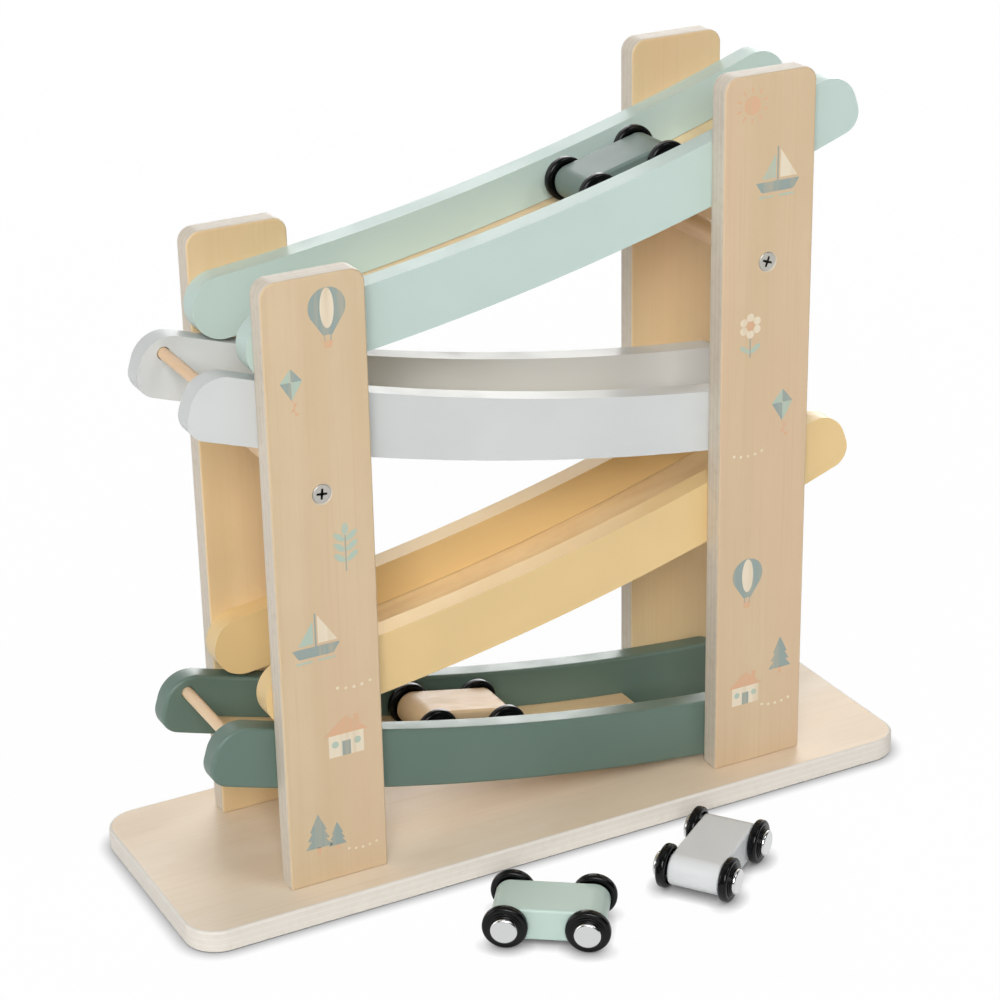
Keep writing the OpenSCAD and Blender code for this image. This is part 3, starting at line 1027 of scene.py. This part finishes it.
@dataclass
class Prints:
    """The small pictures printed on the outer face of a front post."""

    side: str
    middle_x: float
    proud: float = 0.04
    layer_step: float = 0.04
    sunk: float = 0.3
    disc_steps: int = 36
    mesh: BMesh = field(default_factory=bmesh.new)
    pen: Matrix = field(default_factory=Matrix)

    def ink(self, faces: list[BMFace], ink: Ink) -> None:
        """Gives faces an ink."""
        for face in faces:
            face.material_index = INKS.index(ink)

    def patch(self, ink: Ink, corners: list[tuple[float, float]], layer: int = 0,
              corner: float = 0.0) -> None:
        """Prints a flat shape with straight sides.

        Args:
            ink: Its ink.
            corners: Its corners across and up, about the picture's middle.
            layer: How many shapes lie under it.
            corner: The radius of its corners.
        """
        depth = -layer * self.layer_step
        points = [self.mesh.verts.new(self.pen @ Vector((u, depth, v))) for u, v in corners]
        self.ink([self.mesh.faces.new(points)], ink)
        if corner:
            bmesh.ops.bevel(self.mesh, geom=points, offset=corner, affect="VERTICES",
                            offset_type="OFFSET", segments=ROUND_STEPS, profile=0.5,
                            material=-1, clamp_overlap=True)

    def disc(self, ink: Ink, u: float, v: float, radius: float, layer: int = 0,
             squash: float = 1.0, tilt: float = 0.0) -> None:
        """Prints a round or oval shape.

        Args:
            ink: Its ink.
            u: Its middle's place across.
            v: Its middle's place up.
            radius: Its half height.
            layer: How many shapes lie under it.
            squash: Its width, of its height.
            tilt: How far it is turned, in degrees.
        """
        place = (self.pen @ Matrix.Translation((u, -layer * self.layer_step, v))
                 @ Matrix.Rotation(math.radians(tilt), 4, "Y")
                 @ Matrix.Diagonal((squash, 1, 1, 1))
                 @ Matrix.Rotation(math.pi / 2, 4, "X"))
        made = bmesh.ops.create_circle(self.mesh, cap_ends=True, radius=radius,
                                       segments=self.disc_steps, matrix=place)
        self.ink([f for f in made["verts"][0].link_faces], ink)

    def stroke(self, ink: Ink, start: tuple[float, float], end: tuple[float, float],
               width: float = 0.7, layer: int = 0) -> None:
        """Prints a straight line.

        Args:
            ink: Its ink.
            start: Where it starts, across and up.
            end: Where it ends.
            width: Its width.
            layer: How many shapes lie under it.
        """
        run = Vector(end) - Vector(start)
        off = Vector((-run.y, run.x)).normalized() * width / 2
        ends = [Vector(start) - off, Vector(end) - off, Vector(end) + off,
                Vector(start) + off]
        self.patch(ink, [(point.x, point.y) for point in ends], layer)

    def sun(self) -> None:
        """Prints a sun with short rays."""
        self.disc(PEACH_INK, 0, 0, 4.2)
        for number in range(10):
            way = Vector((math.sin(number * math.tau / 10), math.cos(number * math.tau / 10)))
            self.stroke(PEACH_INK, tuple(way * 5.8), tuple(way * 8.2), 0.9)

    def balloon(self) -> None:
        """Prints a striped air balloon with a basket."""
        self.patch(SLATE_INK, [(-5.6, -0.2), (-1.7, -6), (1.7, -6), (5.6, -0.2)])
        self.disc(SLATE_INK, 0, 4, 7, 1)
        self.disc(CREAM_INK, 0, 3.6, 7.2, 2, 0.36)
        for u in (-1.3, 1.3):
            self.stroke(SLATE_INK, (u, -6), (u * 0.8, -8.2), 0.35)
        self.patch(PEACH_INK, [(-1.8, -8), (-1.4, -10.6), (1.4, -10.6), (1.8, -8)])

    def kite(self) -> None:
        """Prints a kite with a tail of bows."""
        self.patch(MIST_INK, [(0, 7.5), (5, 1.6), (0, -6.5), (-5, 1.6)])
        self.patch(SLATE_INK, [(0, 7.5), (5, 1.6), (0, 1.6)], 1)
        self.patch(SLATE_INK, [(0, 1.6), (0, -6.5), (-5, 1.6)], 1)
        self.patch(CREAM_INK, [(0, 1.9), (0.3, 1.6), (0, 1.3), (-0.3, 1.6)], 2)
        tail = [(0, -6.5), (1.4, -8.6), (0.4, -10.8), (2.0, -12.8)]
        for start, end in zip(tail, tail[1:]):
            self.stroke(PEACH_INK, start, end, 0.45)
            self.disc(PEACH_INK, end[0], end[1], 1.0, 1, 0.55, 60)

    def boat(self) -> None:
        """Prints a sailing boat on two strokes of water."""
        self.patch(SLATE_INK, [(-9, -3), (-6.4, -6.8), (6.4, -6.8), (9, -3)], corner=0.7)
        self.stroke(SLATE_INK, (0, -3), (0, 9.2), 0.6)
        self.patch(CREAM_INK, [(0.9, -2), (8, -2), (0.9, 8.4)], corner=0.3)
        self.patch(MIST_INK, [(-0.9, -2), (-0.9, 6.6), (-6.4, -2)], corner=0.3)
        self.stroke(MIST_INK, (-7.5, -8.4), (-1.5, -8.4), 0.7)
        self.stroke(MIST_INK, (0.5, -8.4), (7, -8.4), 0.7)

    def house(self) -> None:
        """Prints a little house."""
        self.patch(CREAM_INK, [(-6.6, -7), (6.6, -7), (6.6, 1.8), (-6.6, 1.8)])
        self.patch(PEACH_INK, [(3, 3), (5, 3), (5, 8), (3, 8)])
        self.patch(PEACH_INK, [(-8.4, 1.4), (8.4, 1.4), (0, 8.2)], 1, corner=0.4)
        self.patch(SLATE_INK, [(-1.6, -7), (1.6, -7), (1.6, -1.4), (-1.6, -1.4)], 1)
        for u in (-4.2, 4.2):
            self.disc(MIST_INK, u, -2.2, 1.3, 1)

    def fir(self) -> None:
        """Prints a fir tree."""
        self.patch(PEACH_INK, [(-0.8, -9), (0.8, -9), (0.8, -6), (-0.8, -6)])
        tiers = ((-6.2, 1.2, 5.6), (-2.6, 4.6, 4.6), (1.0, 8.4, 3.5))
        for layer, (low, high, half) in enumerate(tiers):
            self.patch(SLATE_INK, [(-half, low), (half, low), (0, high)], layer, 0.35)

    def sprig(self) -> None:
        """Prints a sprig of leaves."""
        self.stroke(SLATE_INK, (0, -9), (0, 6.5), 0.55)
        self.disc(MIST_INK, 0, 8.6, 2.6, 1, 0.5)
        for v in (-4.6, -0.2, 4.0):
            for way in (-1, 1):
                self.disc(MIST_INK, way * 2.7, v + 1.6, 2.9, 1, 0.42, way * 52)

    def flower(self) -> None:
        """Prints a flower with two leaves."""
        self.stroke(SLATE_INK, (0, -9), (0, 2), 0.6)
        for way in (-1, 1):
            self.disc(MIST_INK, way * 2.4, -5.4, 2.6, 1, 0.4, way * 55)
        for number in range(6):
            turn = number * math.tau / 6
            self.disc(CREAM_INK, 3.4 * math.sin(turn), 4 + 3.4 * math.cos(turn), 1.65, 1)
        self.disc(PEACH_INK, 0, 4, 1.9, 2)

    def dots(self) -> None:
        """Prints a low arc of small dots."""
        for number in range(5):
            self.disc(CREAM_INK, (number - 2) * 3.2, 0.25 * (number - 2) ** 2, 0.62)

    def build(self, prints: list[Print]) -> None:
        """Prints all the pictures of the post.

        Args:
            prints: The post's pictures.
        """
        for each in prints:
            place = (self.middle_x + each.across, -POST_FACE_Y - self.proud, each.up)
            self.pen = (Matrix.Translation(place)
                        @ Matrix.Diagonal((each.size, 1, each.size, 1)))
            getattr(self, each.picture.value)()
        thicken(self.mesh, list(self.mesh.faces), AXIS_Y * self.sunk)
        finish_piece(self.mesh, self.side + "_front_post_prints", "frame",
                     INKS)


@dataclass
class Ramp:
    """One ramp: two curved rails, a floor let into them and a stop dowel."""

    colour: str
    low_side: int
    low_z: float
    rise: float
    paint: Paint
    has_stop: bool = True
    arc_radius: float = 1118.5
    low_end: float = 115.5
    high_end: float = 140.0
    arc_steps: int = 64
    rail_height: float = 26.9
    low_steps: int = 28
    high_steps: int = 14
    heel: float = 9.0
    heel_steps: int = 10
    arris: float = 1.5
    stop_x: float = 142.5
    stop_lift: float = 5.5
    stop_radius: float = 2.85
    stop_steps: int = 32
    stop_depth: float = 5.0
    floor_drop: float = 4.9
    floor_thickness: float = 3.5
    floor_ends: tuple[float, float] = (-71.5, 130.0)
    groove_depth: float = 2.6
    groove_gap: float = 0.35
    groove_steps: int = 48

    def arc_centre(self) -> Vector:
        """Finds the arc's centre, with the low end drawn at the left.

        Returns:
            The centre, above the chord between the ends.
        """
        low = Vector((-self.low_end, 0, self.low_z))
        high = Vector((self.high_end, 0, self.low_z + self.rise))
        chord = high - low
        up = Vector((-chord.z, 0, chord.x)).normalized()
        height = math.sqrt(self.arc_radius ** 2 - (chord.length / 2) ** 2)
        return (low + high) / 2 + up * height

    @staticmethod
    def spoke(angle: float) -> Vector:
        """Gives the way down from the arc's centre, turned by an angle towards +X."""
        return Vector((math.sin(angle), 0, -math.cos(angle)))

    def slope(self, x: float, radius: float) -> float:
        """Gives the angle of a concentric arc's tangent above +X, at a place x."""
        return math.asin((x - self.arc_centre().x) / radius)

    def point(self, x: float, radius: float) -> Vector:
        """Finds the point of a concentric arc at a place x."""
        return self.arc_centre() + self.spoke(self.slope(x, radius)) * radius

    def outline(self, bm: BMesh) -> list[BMEdge]:
        """Draws a rail's outline: two wide arcs, a round low end and a heeled high end.

        Args:
            bm: An empty mesh.

        Returns:
            The outline's edges.
        """
        half = self.rail_height / 2
        centre = self.arc_centre()
        places = (-self.low_end, self.high_end)
        start, end = (self.point(x, self.arc_radius) for x in places)
        low_angle, high_angle = (self.slope(x, self.arc_radius) for x in places)
        up = -self.spoke(high_angle)
        out = self.spoke(high_angle + math.pi / 2)
        straight = half - self.heel
        first = bm.verts.new(start - self.spoke(low_angle) * half)
        pen = spin_point(bm, first, centre, low_angle - high_angle, self.arc_steps)
        pen = spin_point(bm, pen, end, math.pi / 2, self.high_steps)
        pen = draw_to(bm, pen, end + out * half - up * straight)
        pen = spin_point(bm, pen, end + (out - up) * straight, math.pi / 2,
                         self.heel_steps)
        pen = draw_to(bm, pen, end - up * half)
        pen = spin_point(bm, pen, centre, high_angle - low_angle, self.arc_steps)
        spin_point(bm, pen, start, math.pi, self.low_steps)
        bmesh.ops.remove_doubles(bm, verts=bm.verts, dist=WELD)
        return list(bm.edges)

    def groove_rim(self, bm: BMesh, inner: float) -> list[BMEdge]:
        """Draws the rim of the groove for the floor's edge on a rail's inner face.

        Args:
            bm: The mesh.
            inner: The inner face's place along Y.

        Returns:
            The rim's edges.
        """
        top = self.arc_radius + self.floor_drop - self.groove_gap
        bottom = top + self.floor_thickness + 2 * self.groove_gap
        start, end = (self.slope(x, self.arc_radius) for x in self.floor_ends)
        centre = self.arc_centre() + AXIS_Y * inner
        known = set(bm.edges)
        first = bm.verts.new(centre + self.spoke(start) * top)
        pen = spin_point(bm, first, centre, start - end, self.groove_steps)
        pen = draw_to(bm, pen, centre + self.spoke(end) * bottom)
        pen = spin_point(bm, pen, centre, end - start, self.groove_steps)
        bm.edges.new((pen, first))
        return [e for e in bm.edges if e not in known]

    def rail(self, node: str, rear: bool) -> None:
        """Makes one rail, with the blind hole for the stop dowel in its inner face.

        Args:
            node: The CAD node that it replaces.
            rear: Whether it is the rear rail.
        """
        low, high = box_mm(node)
        outer, inner = (high.y, low.y) if rear else (low.y, high.y)
        bm = bmesh.new()
        outline = self.outline(bm)
        bmesh.ops.translate(bm, vec=AXIS_Y * outer, verts=bm.verts)
        side = bmesh.ops.contextual_create(bm, geom=outline)["faces"]
        thicken(bm, side, AXIS_Y * (inner - outer))
        bmesh.ops.recalc_face_normals(bm, faces=bm.faces)
        round_off(bm, creased(bm, SQUARE), self.arris)
        bm.normal_update()
        inward = AXIS_Y * (-1 if rear else 1)
        holes = [Hole(self.groove_rim(bm, inner), ((self.groove_depth, 1.0),))]
        if self.has_stop:
            place = self.point(self.stop_x, self.arc_radius - self.stop_lift)
            place.y = inner
            rim = circle_rim(bm, place, inward, self.stop_radius, self.stop_steps)
            holes.append(Hole(rim, ((self.stop_depth, 1.0),)))
        sink(bm, flat_face(bm, inward), holes)
        if self.low_side > 0:
            bmesh.ops.scale(bm, vec=Vector((-1, 1, 1)), verts=bm.verts)
        finish_piece(bm, node + "_dressed", "frame", [self.paint],
                     (node,))

    def build(self) -> None:
        """Makes both rails and dresses the floor and the stop dowel."""
        self.rail(self.colour + "_front_rail", rear=False)
        self.rail(self.colour + "_rear_rail", rear=True)
        dress_node(self.colour + "_floor", BEECH)
        if self.has_stop:
            dress_node(self.colour + "_stop_dowel", DOWEL_BEECH)


@dataclass
class Car:
    """A car: a rounded block on two axles, with stepped wheels and polished caps."""

    name: str
    paint: Finish
    length: float = 48.0
    width: float = 23.5
    height: float = 14.5
    lift: float = 2.0
    end_radius: float = 6.8
    end_steps: int = 16
    arris: float = 1.3
    wheel_radius: float = 9.5
    tread: float = 4.0
    shoulder: float = 1.3
    ledge_radius: float = 7.25
    ledge_height: float = 0.5
    hub_radius: float = 6.5
    hub_height: float = 1.0
    recess: float = 1.6
    hollow: tuple[float, float] = (4.0, 7.6)
    step_arris: tuple[float, float] = (0.2, 0.25)
    bore_radius: float = 1.56
    cap_radius: float = 5.65
    cap_thickness: float = 1.4
    cap_gap: float = 0.15
    cap_bore: float = 1.6
    cap_edge: float = 0.95
    cap_arris: float = 0.15
    joints: list[dict] = field(default_factory=list)

    def __post_init__(self) -> None:
        """Reads the car's wheel joints from the frame."""
        self.joints = [j for j in frame["joints"]
                       if j["parent"] == self.name and j["name"].endswith("_spin")]

    def placed(self) -> Matrix:
        """Works out where the car stands from its wheels' joints.

        Returns:
            The matrix from the car's own frame, about the middle of its axles, to the row
            frame in millimetres.
        """
        at = {j["child"]: Vector(j["pos_m"]) / MM for j in self.joints}
        nose = (at[self.name + "_front_left_wheel"] - at[self.name + "_rear_left_wheel"])
        nose.normalize()
        left = Vector(self.joints[0]["axis"]).normalized()
        up = nose.cross(left)
        if up.z < 0:
            nose, up = -nose, -up
        turn = Matrix((nose, left, up)).transposed().to_4x4()
        return Matrix.Translation(sum(at.values(), Vector()) / len(at)) @ turn

    def build_body(self, place: Matrix) -> None:
        """Makes the body.

        Args:
            place: The car's place.
        """
        rise = self.lift + self.height / 2 - self.wheel_radius
        bm = block(Vector((0, 0, rise)), Vector((self.length, self.width, self.height)))
        round_off(bm, edges_along(bm, Axis.Y), self.end_radius, self.end_steps)
        round_off(bm, creased(bm, SQUARE), self.arris)
        bmesh.ops.transform(bm, matrix=place, verts=bm.verts)
        finish_piece(bm, self.name + "_body_dressed", self.name,
                     [self.paint], (self.name + "_body",))

    def build_wheel(self, joint: dict, place: Matrix) -> None:
        """Makes one wheel about its joint.

        Args:
            joint: The wheel's joint.
            place: The car's place.
        """
        half = self.tread / 2
        ledge_y, hub_y = half + self.ledge_height, half + self.hub_height
        recess_y = self.recess - half
        inner, outer = self.hollow
        bm = bmesh.new()
        lathe(bm, [(self.bore_radius, -half), (inner, -half), (inner, recess_y),
                   (outer, recess_y), (outer, -half), (self.wheel_radius, -half),
                   (self.wheel_radius, half), (self.ledge_radius, half),
                   (self.ledge_radius, ledge_y), (self.hub_radius, ledge_y),
                   (self.hub_radius, hub_y), (self.bore_radius, hub_y)], closed=True)
        for side in (-half, half):
            round_ring(bm, self.wheel_radius, side, self.shoulder)
        round_ring(bm, self.ledge_radius, ledge_y, self.step_arris[0])
        round_ring(bm, self.hub_radius, hub_y, self.step_arris[1])
        centre = Vector(joint["pos_m"]) / MM
        local = place.inverted() @ centre
        if local.y < 0:
            bmesh.ops.scale(bm, vec=Vector((1, -1, 1)), verts=bm.verts)
        turn = place.to_3x3().to_4x4()
        bmesh.ops.transform(bm, matrix=Matrix.Translation(centre) @ turn, verts=bm.verts)
        finish_piece(bm, joint["child"] + "_dressed", joint["child"],
                     [WHEEL_BLACK], (joint["child"],))

    def build_caps(self, place: Matrix) -> None:
        """Makes the four caps as one piece.

        Args:
            place: The car's place.
        """
        whole = bmesh.new()
        reach = self.tread / 2 + self.hub_height + self.cap_gap
        for joint in self.joints:
            bm = bmesh.new()
            seat = self.cap_thickness / 2
            lathe(bm, [(0.0, seat), (self.cap_bore, seat), (self.cap_bore, 0.0),
                       (self.cap_radius, 0.0),
                       (self.cap_radius, self.cap_thickness), (0.0, self.cap_thickness)],
                  closed=False)
            round_ring(bm, self.cap_radius, self.cap_thickness, self.cap_edge)
            round_ring(bm, self.cap_radius, 0.0, self.cap_arris)
            centre = place.inverted() @ (Vector(joint["pos_m"]) / MM)
            side = 1 if centre.y > 0 else -1
            add_to(whole, bm, Matrix.Translation(centre) @ Matrix.Diagonal((1, side, 1, 1))
                   @ Matrix.Translation((0, reach, 0)))
        bmesh.ops.transform(whole, matrix=place, verts=whole.verts)
        finish_piece(whole, self.name + "_caps_dressed", self.name,
                     [CAP_STEEL], (self.name + "_caps",))

    def build(self) -> None:
        """Makes the car's pieces and dresses its axles."""
        place = self.placed()
        self.build_body(place)
        for joint in self.joints:
            self.build_wheel(joint, place)
        self.build_caps(place)
        dress_node(self.name + "_axles", AXLE_STEEL)


@dataclass(frozen=True)
class Lamp:
    """A square soft lamp that looks at the toy's middle, in metres and watts."""

    name: str
    at: Triple
    size: float
    power: float


LAMPS = (Lamp("key", (-2.1, -4.0, 2.75), 2.16, 162),
         Lamp("left_key", (-3.3, -3.2, 3.4), 2.52, 55),
         Lamp("high_right", (1.9, -3.0, 4.3), 2.2, 60),
         Lamp("left_fill", (-2.2, 0.3, 0.9), 1.2, 11.6),
         Lamp("rear_glow", (1.0, 1.8, 1.15), 2.4, 16.6),
         Lamp("rear_sheen", (1.25, 2.1, 0.55), 1.5, 29.5))


@dataclass
class Studio:
    """The camera, the soft lights and the pale floor.

    The camera's place and lens are in millimetres. The floor's sizes and the point that the
    lamps look at are in metres. The backdrop's edge says where its white begins and where
    it is full, as a ray direction's part along +Y.
    """

    camera_at: Triple = (-502.26, -955.91, 615.60)
    look_along: Triple = (0.42450, 0.81247, -0.39962)
    rightwards: Triple = (0.88252, -0.46994, -0.01797)
    lens: float = 98.605
    sensor: float = 36.0
    lit_at: Triple = (0.0, 0.0, 0.15)
    floor_size: float = 12.0
    floor_drop: float = 0.00002
    floor_grey: float = 0.86
    floor_glow: float = 0.975
    # How far from the toy the floor's painted contact shade reaches, in metres.
    painted_shade_reach: float = 0.0065
    room_light: float = 0.03
    backdrop_edge: tuple[float, float] = (-0.1, 0.3)

    def add_camera(self) -> None:
        """Sets the camera where the photograph was taken from."""
        data = bpy.data.cameras.new("camera")
        data.lens = self.lens
        data.sensor_width = self.sensor
        camera = add_object("camera", data)
        forward = Vector(self.look_along).normalized()
        right = Vector(self.rightwards).normalized()
        up = right.cross(forward)
        camera.matrix_world = Matrix.Translation(Vector(self.camera_at) * MM) @ Matrix(
            (right, up, -forward)).transposed().to_4x4()
        bpy.context.scene.camera = camera

    def add_lamp(self, lamp: Lamp) -> None:
        """Adds a lamp.

        Args:
            lamp: What it is like.
        """
        data = bpy.data.lights.new(lamp.name, "AREA")
        data.size = lamp.size
        data.energy = lamp.power
        hung = add_object(lamp.name, data)
        hung.location = lamp.at
        aim = Vector(self.lit_at) - Vector(lamp.at)
        hung.rotation_euler = aim.to_track_quat("-Z", "Y").to_euler()

    def add_world(self) -> None:
        """Makes a world that is white behind the toy and dim in the rest of the room."""
        world = bpy.data.worlds.new("world")
        bpy.context.scene.world = world
        world.use_nodes = True
        world.node_tree.nodes.clear()
        nodes = Nodes(world.node_tree)
        rearwards = nodes.coordinate("Generated", Axis.Y)
        behind = nodes.spread(rearwards, *self.backdrop_edge, 0, 1)
        mirrored = nodes.calculate("MULTIPLY", behind, nodes.seen_by("Glossy", "Transmission"))
        white = nodes.calculate("MAXIMUM", mirrored, nodes.seen_by("Camera"))
        room, backdrop = (nodes.add("Background", Color=(1, 1, 1, 1), Strength=strength)
                          for strength in (self.room_light, 1.0))
        nodes.blend(white, room, backdrop, nodes.add("OutputWorld"))

    def add_floor(self) -> None:
        """Lays a pale floor that renders white, with a painted contact shade near the toy and
        a faint share of the toy's real shadow.
        """
        bm = bmesh.new()
        bmesh.ops.create_grid(bm, x_segments=1, y_segments=1, size=self.floor_size / 2,
                              matrix=Matrix.Translation((0, 0, -self.floor_drop)))
        floor = add_object("floor", to_mesh(bm, "floor"))
        recipe = Recipe("floor")
        recipe.set(Base_Color=(*[self.floor_grey] * 3, 1), Roughness=0.9,
                   Specular_IOR_Level=0.0)
        # Painted contact shade: ambient occlusion darkens the floor's white glow near the toy,
        # standing in for its shadow there.
        painted_contact_shade = recipe.add("AmbientOcclusion", samples=12, Distance=self.painted_shade_reach)
        glow = recipe.add("Emission", Strength=1.0)
        recipe.join(painted_contact_shade.outputs["Color"], glow.inputs["Color"])
        seen = recipe.seen_by("Camera", "Glossy", "Transmission")
        recipe.blend(recipe.calculate("MULTIPLY", seen, self.floor_glow), recipe.shader, glow,
                     recipe.tree.nodes["Material Output"])
        floor.data.materials.append(recipe.material)

    def build(self) -> None:
        """Sets up the whole studio."""
        bpy.context.scene.view_settings.view_transform = "Standard"
        self.add_camera()
        self.add_world()
        self.add_floor()
        for lamp in LAMPS:
            self.add_lamp(lamp)


def main() -> None:
    """Builds the toy and the studio."""
    logging.basicConfig(level=logging.INFO, format="%(name)s: %(message)s")
    Studio().build()
    BaseBoard().build()
    for side in ("left", "right"):
        for row in ("front", "rear"):
            Post(f"{side}_{row}_post").build()
    Prints("left", -POST_X).build([
        Print(Picture.BALLOON, 5.5, 259.0, 1.15),
        Print(Picture.KITE, -11.0, 234.0, 0.95),
        Print(Picture.SPRIG, 9.0, 160.0, 1.05),
        Print(Picture.BOAT, -6.0, 124.0, 1.2),
        Print(Picture.DOTS, 10.0, 98.0, 1.15),
        Print(Picture.HOUSE, 5.5, 76.0, 1.2),
        Print(Picture.FIR, -9.0, 34.0, 1.1),
        Print(Picture.FIR, -0.5, 31.0, 0.75),
        Print(Picture.DOTS, 11.0, 22.0),
    ])
    Prints("right", POST_X).build([
        Print(Picture.SUN, -9.0, 315.0, 0.95),
        Print(Picture.BOAT, 4.0, 285.0, 1.2),
        Print(Picture.FLOWER, -8.0, 215.0, 1.1),
        Print(Picture.KITE, 9.0, 180.0, 1.05),
        Print(Picture.DOTS, -8.0, 160.0, 1.1),
        Print(Picture.BALLOON, -7.0, 99.0, 1.1),
        Print(Picture.FIR, 11.0, 60.0, 1.05),
        Print(Picture.HOUSE, -7.0, 47.0, 1.05),
        Print(Picture.DOTS, 9.0, 36.0, 1.1),
    ])
    for ramp in (Ramp("mint", -1, low_z=246.9, rise=57.3, paint=MINT_RAIL, has_stop=False),
                 Ramp("white", 1, low_z=172.2, rise=53.4, paint=WHITE_RAIL),
                 Ramp("yellow", -1, low_z=94.6, rise=57.0, paint=YELLOW_RAIL),
                 Ramp("green", 1, low_z=23.55, rise=48.7, paint=GREEN_RAIL)):
        ramp.build()
    for dowel in ("left_cross_dowel", "right_cross_dowel", "locating_dowels"):
        dress_node(dowel, DOWEL_BEECH)
    Screws("base_screws", length=32.0, heads=[
        (Vector(place) + UP * BASE_SCREW_SINK, -UP) for place in BASE_SCREWS]).build()
    Screws("post_screws", length=30.0, heads=[
        (Vector((x, way * (POST_FACE_Y - POST_SCREW_SINK), z)), AXIS_Y * way)
        for x, z in POST_SCREWS.values() for way in (-1, 1)]).build()
    for car in (Car("mint_car", MINT_CAR), Car("grey_car", GREY_CAR),
                Car("green_car", GREEN_CAR), Car("natural_car", CAR_BEECH)):
        car.build()


if __name__ == "__main__":
    main()
